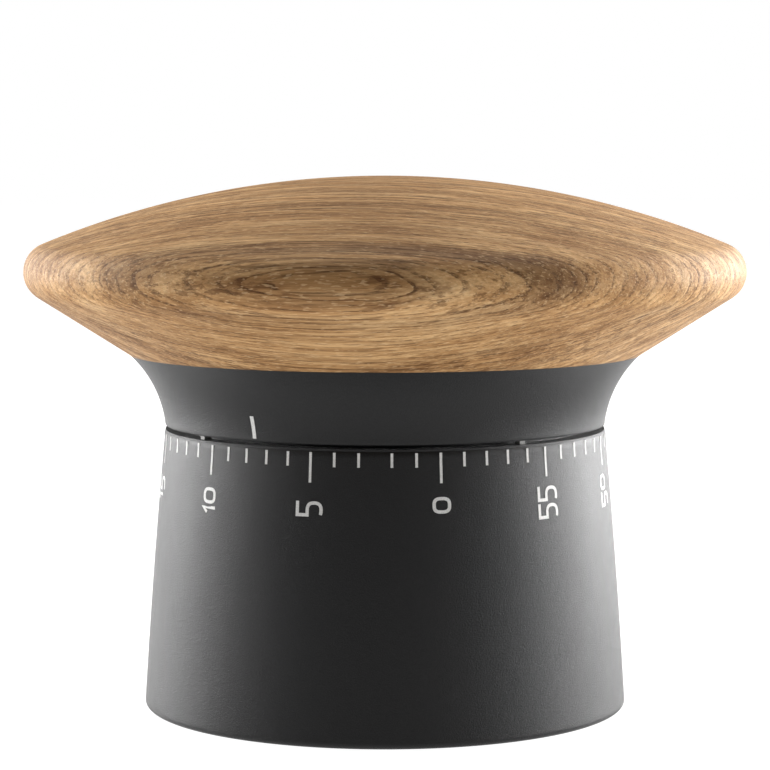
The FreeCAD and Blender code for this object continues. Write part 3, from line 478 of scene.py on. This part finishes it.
class Finish:
    """A material with one Principled shader, and the nodes that feed it."""

    def __init__(self, name, **constants):
        self.material = bpy.data.materials.new(name)
        self.material.use_nodes = True
        self.tree = self.material.node_tree
        self.shader = self.tree.nodes["Principled BSDF"]
        for key, value in constants.items():
            socket = self.shader.inputs[key.replace("_", " ")]
            socket.default_value = (*value, 1) if isinstance(value, tuple) else value

    def node(self, kind, settings, inputs, output=0):
        """Add a node: settings first, then values or wires into its inputs, by name or number."""
        new = self.tree.nodes.new(kind)
        for key, value in settings.items():
            if key == "stops":
                self.ramp(new.color_ramp, value)
            else:
                setattr(new, key, value)
        for key, value in inputs.items():
            if isinstance(value, Wire):
                self.tree.links.new(value.socket, new.inputs[key])
            else:
                new.inputs[key].default_value = value
        return Wire(self, new.outputs[output])

    def ramp(self, ramp, stops):
        """Set a ramp's stops from (place, grey or colour) pairs."""
        while len(ramp.elements) < len(stops):
            ramp.elements.new(0.5)
        for element, (place, colour) in zip(ramp.elements, stops):
            element.position = place
            element.color = (*colour, 1) if isinstance(colour, tuple) else (colour, colour, colour, 1)

    def millimetres(self):
        """The place on the piece, in millimetres, as a vector."""
        place = self.node("ShaderNodeTexCoord", {}, {}, "Object")
        return self.node("ShaderNodeVectorMath", {"operation": "SCALE"}, {0: place, "Scale": 1000.0})

    def stretched(self, vector, turn, scale):
        """The vector turned about Z by degrees, then scaled along each axis."""
        turned_vector = self.node("ShaderNodeVectorRotate", {"rotation_type": "Z_AXIS"},
                                  {"Vector": vector, "Angle": math.radians(turn)})
        return self.node("ShaderNodeVectorMath", {"operation": "MULTIPLY"}, {0: turned_vector, 1: scale})

    def noise(self, vector, scale=1.0, detail=3.0, roughness=0.5):
        """Noise of 0 to 1, whose patches measure about one over the scale."""
        return self.node("ShaderNodeTexNoise", {}, {"Vector": vector, "Scale": scale, "Detail": detail,
                                                    "Roughness": roughness})

    def line_noise(self, value, scale, detail=2.0):
        """Noise along one number, the same wherever that number is the same."""
        return self.node("ShaderNodeTexNoise", {"noise_dimensions": "1D"},
                         {"W": value, "Scale": scale, "Detail": detail})

    def curve(self, value, stops):
        """A number or colour looked up on a ramp."""
        return self.node("ShaderNodeValToRGB", {"stops": stops}, {"Fac": value})

    def remap(self, value, low, high, new_low, new_high):
        """Carry the range low to high over to a new one, and hold it at the new ends."""
        return self.node("ShaderNodeMapRange", {}, {"Value": value, "From Min": low, "From Max": high,
                                                    "To Min": new_low, "To Max": new_high})

    def mixed(self, share, first, second):
        """Mix two colours: share 0 gives the first, 1 the second."""
        first, second = ((*c, 1) if isinstance(c, tuple) else c for c in (first, second))
        return self.node("ShaderNodeMix", {"data_type": "RGBA"}, {0: share, 6: first, 7: second}, 2)

    def feed(self, **wires):
        """Lead wires into the shader's sockets."""
        for key, wire in wires.items():
            self.tree.links.new(wire.socket, self.shader.inputs[key.replace("_", " ")])
        return self

    def bump(self, height, depth, strength):
        """Bump from a height of 0 to 1 that stands for a depth in millimetres."""
        normal = self.node("ShaderNodeBump", {}, {"Height": height, "Distance": depth * MM,
                                                  "Strength": strength})
        return self.feed(Normal=normal)


print("sums that a wire knows: plus, minus and times")

# %% [markdown]
# ## Oiled oak
#
# The block was sawn so that its year rings stand upright and face the front: that is why the rings run as
# long, close lines over the dome and close into ovals at the front of the rim. One number, the depth into
# the wood along the rings' normal, tells a point which ring it is in. Each ring starts with a row of open
# pores, dark and sharp, and fades to dense, pale late wood. Slow noise bends the rings a little, because no
# trunk is a perfect cylinder.
#
# An image of wood would stretch over the rim. A pattern worked out in the solid fits every side: the
# rings show as lines on top and as ovals in front because they are cut there, as in a real block.

# %% Colours and places in the block
view_turn = -13.1
ring_turn = view_turn - 9.5
front_of_block, rim_level = 45, 55.5
late_wood = [(0.36, (0.27, 0.134, 0.050)), (0.46, (0.43, 0.237, 0.096)),
             (0.54, (0.56, 0.335, 0.150)), (0.64, (0.71, 0.465, 0.232))]
early_wood, pore_brown, pale_ray = (0.090, 0.034, 0.010), (0.040, 0.017, 0.006), (0.74, 0.51, 0.28)
print("the rings face %.1f degrees from the front" % ring_turn)

# %% [markdown]
# ## The oak's layers
#
# Wood looks flat with one pattern, so several lie on each other. First come rings with their early wood,
# broken along the grain and of a different strength each year. Then there are groups of close rings, thin
# and wide streaks, and a dark band of rings near the front of the rim. The band is partly darker grain and
# partly painted shade: stronger on the right and weaker below the rim, it darkens the front, which faces away
# from the lights. Behind it the ring lines fade in a zone of painted light, which lightens the middle of the
# dome. The ground colour comes from fibres, streaks and clouds. Last come pores, which are fine dashes along
# the grain, and pale flecks of ray.


# %% Oak
def oak_finish():
    """Oak. The ring number is the depth from the front in millimetres, less a little towards the sides, more
    above and below the rim's level, and bent by noise. Its fraction tells early wood from late wood."""
    finish = Finish("oiled_oak", Roughness=0.64, Specular_IOR_Level=0.16)
    place = finish.millimetres()

    def grain(along, across, up, detail=2.0, roughness=0.5):
        """Noise in the block's own directions, with its scale along the grain, across it and upwards."""
        return finish.noise(finish.stretched(place, -ring_turn, (along, across, up)), 1.0, detail, roughness)

    block = finish.stretched(place, -ring_turn, (1, 1, 1))
    side, front, level = (finish.node("ShaderNodeSeparateXYZ", {}, {0: block}, axis) for axis in "XYZ")
    lift = level - rim_level
    bend = grain(0.016, 0.04, 0.04) - 0.5
    ripple = grain(0.09, 0.25, 0.4, 3.0, 0.6) - 0.5
    curve_of_ring = lift * lift * 0.06 - side * side * 0.004
    depth = front_of_block + front + curve_of_ring + bend * 8 + ripple * 0.9
    years = depth + finish.line_noise(depth, 0.2) * 4.0
    ring = finish.node("ShaderNodeMath", {"operation": "FRACT"}, {0: years})
    year = finish.node("ShaderNodeMath", {"operation": "FLOOR"}, {0: years})

    early = finish.curve(ring, [(0.0, 1.0), (0.15, 1.0), (0.28, 0.2), (0.75, 0.0), (0.96, 0.08), (1.0, 1.0)])
    broken = finish.curve(grain(0.10, 1.5, 1.5, 3.0, 0.6), [(0.40, 0.15), (0.54, 1.0)])
    early_line = early * finish.remap(finish.line_noise(year, 0.73), 0.34, 0.66, 0.15, 1.0) * broken
    group = finish.curve(finish.line_noise(depth + ripple + 40, 0.34, 3.0), [(0.48, 0.0), (0.56, 1.0)])
    thin = finish.curve(grain(0.035, 1.5, 1.5, 3.0, 0.7), [(0.54, 0.0), (0.59, 1.0)])
    wide = finish.curve(grain(0.018, 0.55, 0.55, 3.0, 0.65), [(0.50, 0.0), (0.57, 1.0)])
    # Painted light: in a zone behind the front band the ring lines fade, which lightens the middle of the
    # dome where the side lights reach little.
    painted_light_zone = finish.curve(depth * 0.05, [(0.36, 0.0), (0.48, 1.0), (0.70, 1.0), (0.90, 0.0)])
    # Partly darker grain, partly painted shade: a dark band of rings near the front of the rim, stronger on
    # the right and weaker below the rim's level, darkens the front that faces away from the lights.
    band_depth = depth - finish.remap(side, -5, 24, 0, 1.2)
    grain_and_painted_shade_band = finish.curve(band_depth * 0.1, [(0.20, 0.0), (0.32, 1.0), (0.48, 0.9), (0.64, 0.0)])
    grain_and_painted_shade_band = grain_and_painted_shade_band * finish.remap(side, -25, 18, 0.35, 1.0) * finish.remap(lift, -4, 0, 0.15, 1.0)

    streak = grain(0.022, 0.42, 0.42, 3.0, 0.6)
    fibre = grain(0.12, 3.2, 3.2, 3.0, 0.65)
    cloud = grain(0.02, 0.06, 0.06)
    tone = fibre * 0.30 + streak * 0.45 + cloud * 0.25
    pore = finish.curve(grain(0.42, 5.0, 5.0, 2.0, 0.6), [(0.49, 0.0), (0.58, 1.0)]) * (0.25 + early * 0.75)
    fleck = finish.curve(grain(0.9, 4.2, 4.2, 1.0), [(0.60, 0.0), (0.68, 1.0)])

    shade = 1 - (1 - early_line * 0.85) * (1 - group * 0.26) * (1 - thin * 0.52) * (1 - wide * 0.20)
    # The painted light zone thins the ring shade, and the band adds darker grain and painted shade at the
    # front.
    shade = 1 - (1 - shade * (1 - painted_light_zone * 0.42)) * (1 - grain_and_painted_shade_band * 0.58)
    rings = finish.mixed(shade, finish.curve(tone, late_wood), early_wood)
    lines = finish.mixed(pore * 0.5, rings, pore_brown)
    colour = finish.mixed(fleck * 0.35, lines, pale_ray)
    height = 1 - (early_line * 0.35 + pore * 0.65)
    finish.feed(Base_Color=colour, Roughness=finish.remap(tone, 0.3, 0.7, 0.70, 0.54))
    return finish.bump(height, 0.05, 0.7).material


finishes = {"oak": oak_finish()}
print("oak:", len(finishes["oak"].node_tree.nodes), "nodes")

# %% [markdown]
# ## Black moulded plastic
#
# Skirt and base are moulded in a spark-eroded tool, which leaves a fine, even grain that feels soft. The
# grain matters more than the colour: it spreads the side lights into a broad pale glow near the edges. It
# is a bump of two sizes of noise, a fifth of a millimetre and finer, with a faint fleck in the colour.


# %% Plastics, rubber and ink
def plastic_finish(name, colour, roughness, grain, flecks, sheen):
    """A moulded surface: grain is its depth in millimetres, flecks the share by which its colour varies."""
    finish = Finish(name, Roughness=roughness, Specular_IOR_Level=0.24,
                    Sheen_Weight=sheen, Sheen_Roughness=0.25)
    place = finish.millimetres()
    coarse = finish.noise(place, 4.6, 4.0, 0.75)
    fine = finish.noise(place, 14.0, 2.0)
    cloud = finish.noise(place, 0.05, 2.0)
    pale = tuple(part * (1 + flecks) for part in colour)
    dark = tuple(part * (1 - flecks * 0.7) for part in colour)
    tint = finish.curve(coarse * 0.6 + fine * 0.3 + cloud * 0.1, [(0.36, dark), (0.64, pale)])
    worn = finish.remap(cloud * 0.6 + coarse * 0.4, 0.35, 0.65, roughness - 0.04, roughness + 0.05)
    finish.feed(Base_Color=tint, Roughness=worn)
    return finish.bump(coarse * 0.6 + fine * 0.4, grain, 0.8).material


def ink_finish():
    """White ink that lies a little thinner in some places, where the black shows through."""
    finish = Finish("white_ink", Roughness=0.55, Specular_IOR_Level=0.3)
    place = finish.millimetres()
    coverage = finish.noise(place, 6.0, 3.0, 0.7)
    finish.feed(Base_Color=finish.curve(coverage, [(0.3, (0.48, 0.48, 0.47)), (0.6, (0.66, 0.66, 0.645))]))
    return finish.bump(coverage, 0.006, 0.5).material


finishes |= {
    "black_plastic": plastic_finish("soft_black_plastic", (0.008, 0.008, 0.0083), 0.39, 0.11, 0.45, 0.10),
    "cover_plastic": plastic_finish("matt_cover_plastic", (0.022, 0.022, 0.023), 0.58, 0.03, 0.12, 0.03),
    "glide_plastic": plastic_finish("nylon", (0.22, 0.22, 0.21), 0.42, 0.01, 0.05, 0.0),
    "foot_rubber": plastic_finish("foot_rubber", (0.030, 0.030, 0.030), 0.75, 0.02, 0.20, 0.10),
    "ink": ink_finish(),
}
print("finishes so far:", ", ".join(finishes))

# %% [markdown]
# ## Metals of the movement
#
# The movement is brass, steel and a nickel-plated bell. Rolled and turned metal is never evenly shiny:
# long fine scratches run one way, and the polish comes and goes in soft patches. So each metal gets a
# stretched noise for its scratches and a slow noise for its patches, both in the roughness, and the
# scratches also in the bump.


# %% Metals
def metal_finish(name, colour, roughness, scratches, tarnish):
    """A metal: scratches gives the noise's scale along each axis, tarnish how much darker its patches are."""
    finish = Finish(name, Metallic=1.0, Roughness=roughness)
    place = finish.millimetres()
    scratch = finish.noise(finish.stretched(place, 30, scratches), 1.0, 3.0, 0.6)
    patch = finish.noise(place, 0.35, 3.0)
    dull = tuple(part * (1 - tarnish) for part in colour)
    tint = finish.curve(patch * 0.7 + scratch * 0.3, [(0.36, dull), (0.62, colour)])
    worn = finish.remap(scratch * 0.5 + patch * 0.5, 0.3, 0.7, roughness - 0.08, roughness + 0.10)
    finish.feed(Base_Color=tint, Roughness=worn)
    return finish.bump(scratch, 0.004, 0.6).material


finishes |= {
    "screw_steel": metal_finish("zinc_plated_steel", (0.56, 0.57, 0.58), 0.32, (2, 2, 14), 0.15),
    "movement_brass": metal_finish("rolled_brass", (0.78, 0.56, 0.25), 0.28, (1, 16, 4), 0.22),
    "spacer_steel": metal_finish("turned_steel", (0.52, 0.52, 0.53), 0.30, (1, 1, 18), 0.18),
    "arbor_steel": metal_finish("polished_steel", (0.60, 0.60, 0.61), 0.18, (1, 1, 20), 0.12),
    "spring_steel": metal_finish("blued_steel", (0.12, 0.15, 0.26), 0.26, (1, 12, 3), 0.35),
    "bell_plate": metal_finish("nickel_plate", (0.70, 0.67, 0.62), 0.14, (0.4, 0.4, 10), 0.10),
}
print("finishes:", ", ".join(finishes))


# %% [markdown]
# ## Hand out the finishes
#
# The record says which finish each piece of the working model takes. Every material slot of every piece is
# filled, so nothing is left in a plain colour, not even the parts that the base hides.

# %% Give every piece its finish
slot_of = {entry["node"]: entry["material_slot"] for entry in frame["record"]["subparts"]}
for name, node in frame["nodes"].items():
    finish = finishes[slot_of[name]]
    for index in range(len(node.data.materials)):
        node.data.materials[index] = finish
    if not node.data.materials:
        node.data.materials.append(finish)
for piece, name in ((oak, "oak"), (skirt, "black_plastic"), (base, "black_plastic"),
                    (scale, "ink"), (pointer, "ink")):
    piece.data.materials.append(finishes[name])
print("dressed", len(frame["nodes"]), "nodes and 5 new pieces")

# %% [markdown]
# ## A plain studio
#
# A white floor that glows evenly runs on to a white surround, so the timer seems to stand in light and no
# horizon shows. The surround is bright only to the camera: as a light it is weak, so the black stays black.
# Two tall soft boxes stand behind the timer to the left and right, graze the black base and draw its pale
# edges. A wide box above lights the dome, and two low strips carry the glow down to the foot.

# %% Floor, lights and surround
floor_size, surround_light = 6.0, 0.03
floor_points = np.array([[-1, -1, 0], [1, -1, 0], [1, 1, 0], [-1, 1, 0]]) * floor_size / 2
floor = mesh_object("floor", floor_points, np.array([[0, 1, 2, 3]]))
floor_paint = Finish("floor_paint", Roughness=0.9, Base_Color=(0.20, 0.20, 0.20), Specular_IOR_Level=0.1,
                     Emission_Color=(1.0, 1.0, 1.0), Emission_Strength=1.0)
floor.data.materials.append(floor_paint.material)

world = bpy.data.worlds.new("white_surround")
world.use_nodes = True
sky = world.node_tree
background = sky.nodes["Background"]
background.inputs["Color"].default_value = (1, 1, 1, 1)
seen = sky.nodes.new("ShaderNodeLightPath")
strength = sky.nodes.new("ShaderNodeMapRange")
strength.inputs["To Min"].default_value = surround_light
strength.inputs["To Max"].default_value = 1.0
sky.links.new(seen.outputs["Is Camera Ray"], strength.inputs["Value"])
sky.links.new(strength.outputs["Result"], background.inputs["Strength"])
bpy.context.scene.world = world
bpy.context.scene.view_settings.view_transform = "Standard"
middle = Vector((0, 0, 0.6 * oak_high))


def soft_box(name, turn, rise, distance, wide, tall, watts):
    """A rectangular light at a turn and a rise in degrees, seen from the camera's side, facing the timer."""
    around, up = math.radians(view_turn + turn), math.radians(rise)
    offset = Vector((math.sin(around) * math.cos(up), -math.cos(around) * math.cos(up), math.sin(up)))
    lamp = bpy.data.lights.new(name, "AREA")
    lamp.shape = "RECTANGLE"
    lamp.size, lamp.size_y, lamp.energy = wide, tall, watts
    box = bpy.data.objects.new(name, lamp)
    box.location = middle + offset * distance
    box.rotation_euler = (-offset).to_track_quat("-Z", "Y").to_euler()
    bpy.context.scene.collection.objects.link(box)


# Each row: name, turn and rise in degrees, distance, width and height in metres, power in watts.
soft_boxes = [("left_box", -124, 8, 0.7, 0.5, 0.8, 12),
              ("right_box", 128, 8, 0.7, 0.5, 0.8, 15),
              ("top_box", 150, 78, 0.9, 0.7, 0.7, 4.5),
              ("low_left_box", -104, 4, 0.75, 0.7, 0.08, 3.8),
              ("low_right_box", 104, 4, 0.75, 0.7, 0.08, 7.0)]
for row in soft_boxes:
    soft_box(*row)
print(len(soft_boxes), "soft boxes")

# %% [markdown]
# ## The camera
#
# A long lens a little over a third of a metre away, just above the knob and tipped down by five degrees,
# shows the dome as a thin ellipse and the base nearly square on.

# %% Camera
camera_distance, camera_height, aim_height = 358.6 * MM, 70.7 * MM, 40.46 * MM
lens = bpy.data.cameras.new("camera")
lens.lens, lens.sensor_width = 133.8, 36.0
lens.clip_start, lens.clip_end = 0.01, 20
camera = bpy.data.objects.new("camera", lens)
turn = math.radians(view_turn)
camera.location = (camera_distance * math.sin(turn), -camera_distance * math.cos(turn), camera_height)
aim = Vector((0, 0, aim_height)) - camera.location
camera.rotation_euler = aim.to_track_quat("-Z", "Y").to_euler()
bpy.context.scene.collection.objects.link(camera)
bpy.context.scene.camera = camera
print("camera %.1f mm from the axis" % (camera_distance / MM))
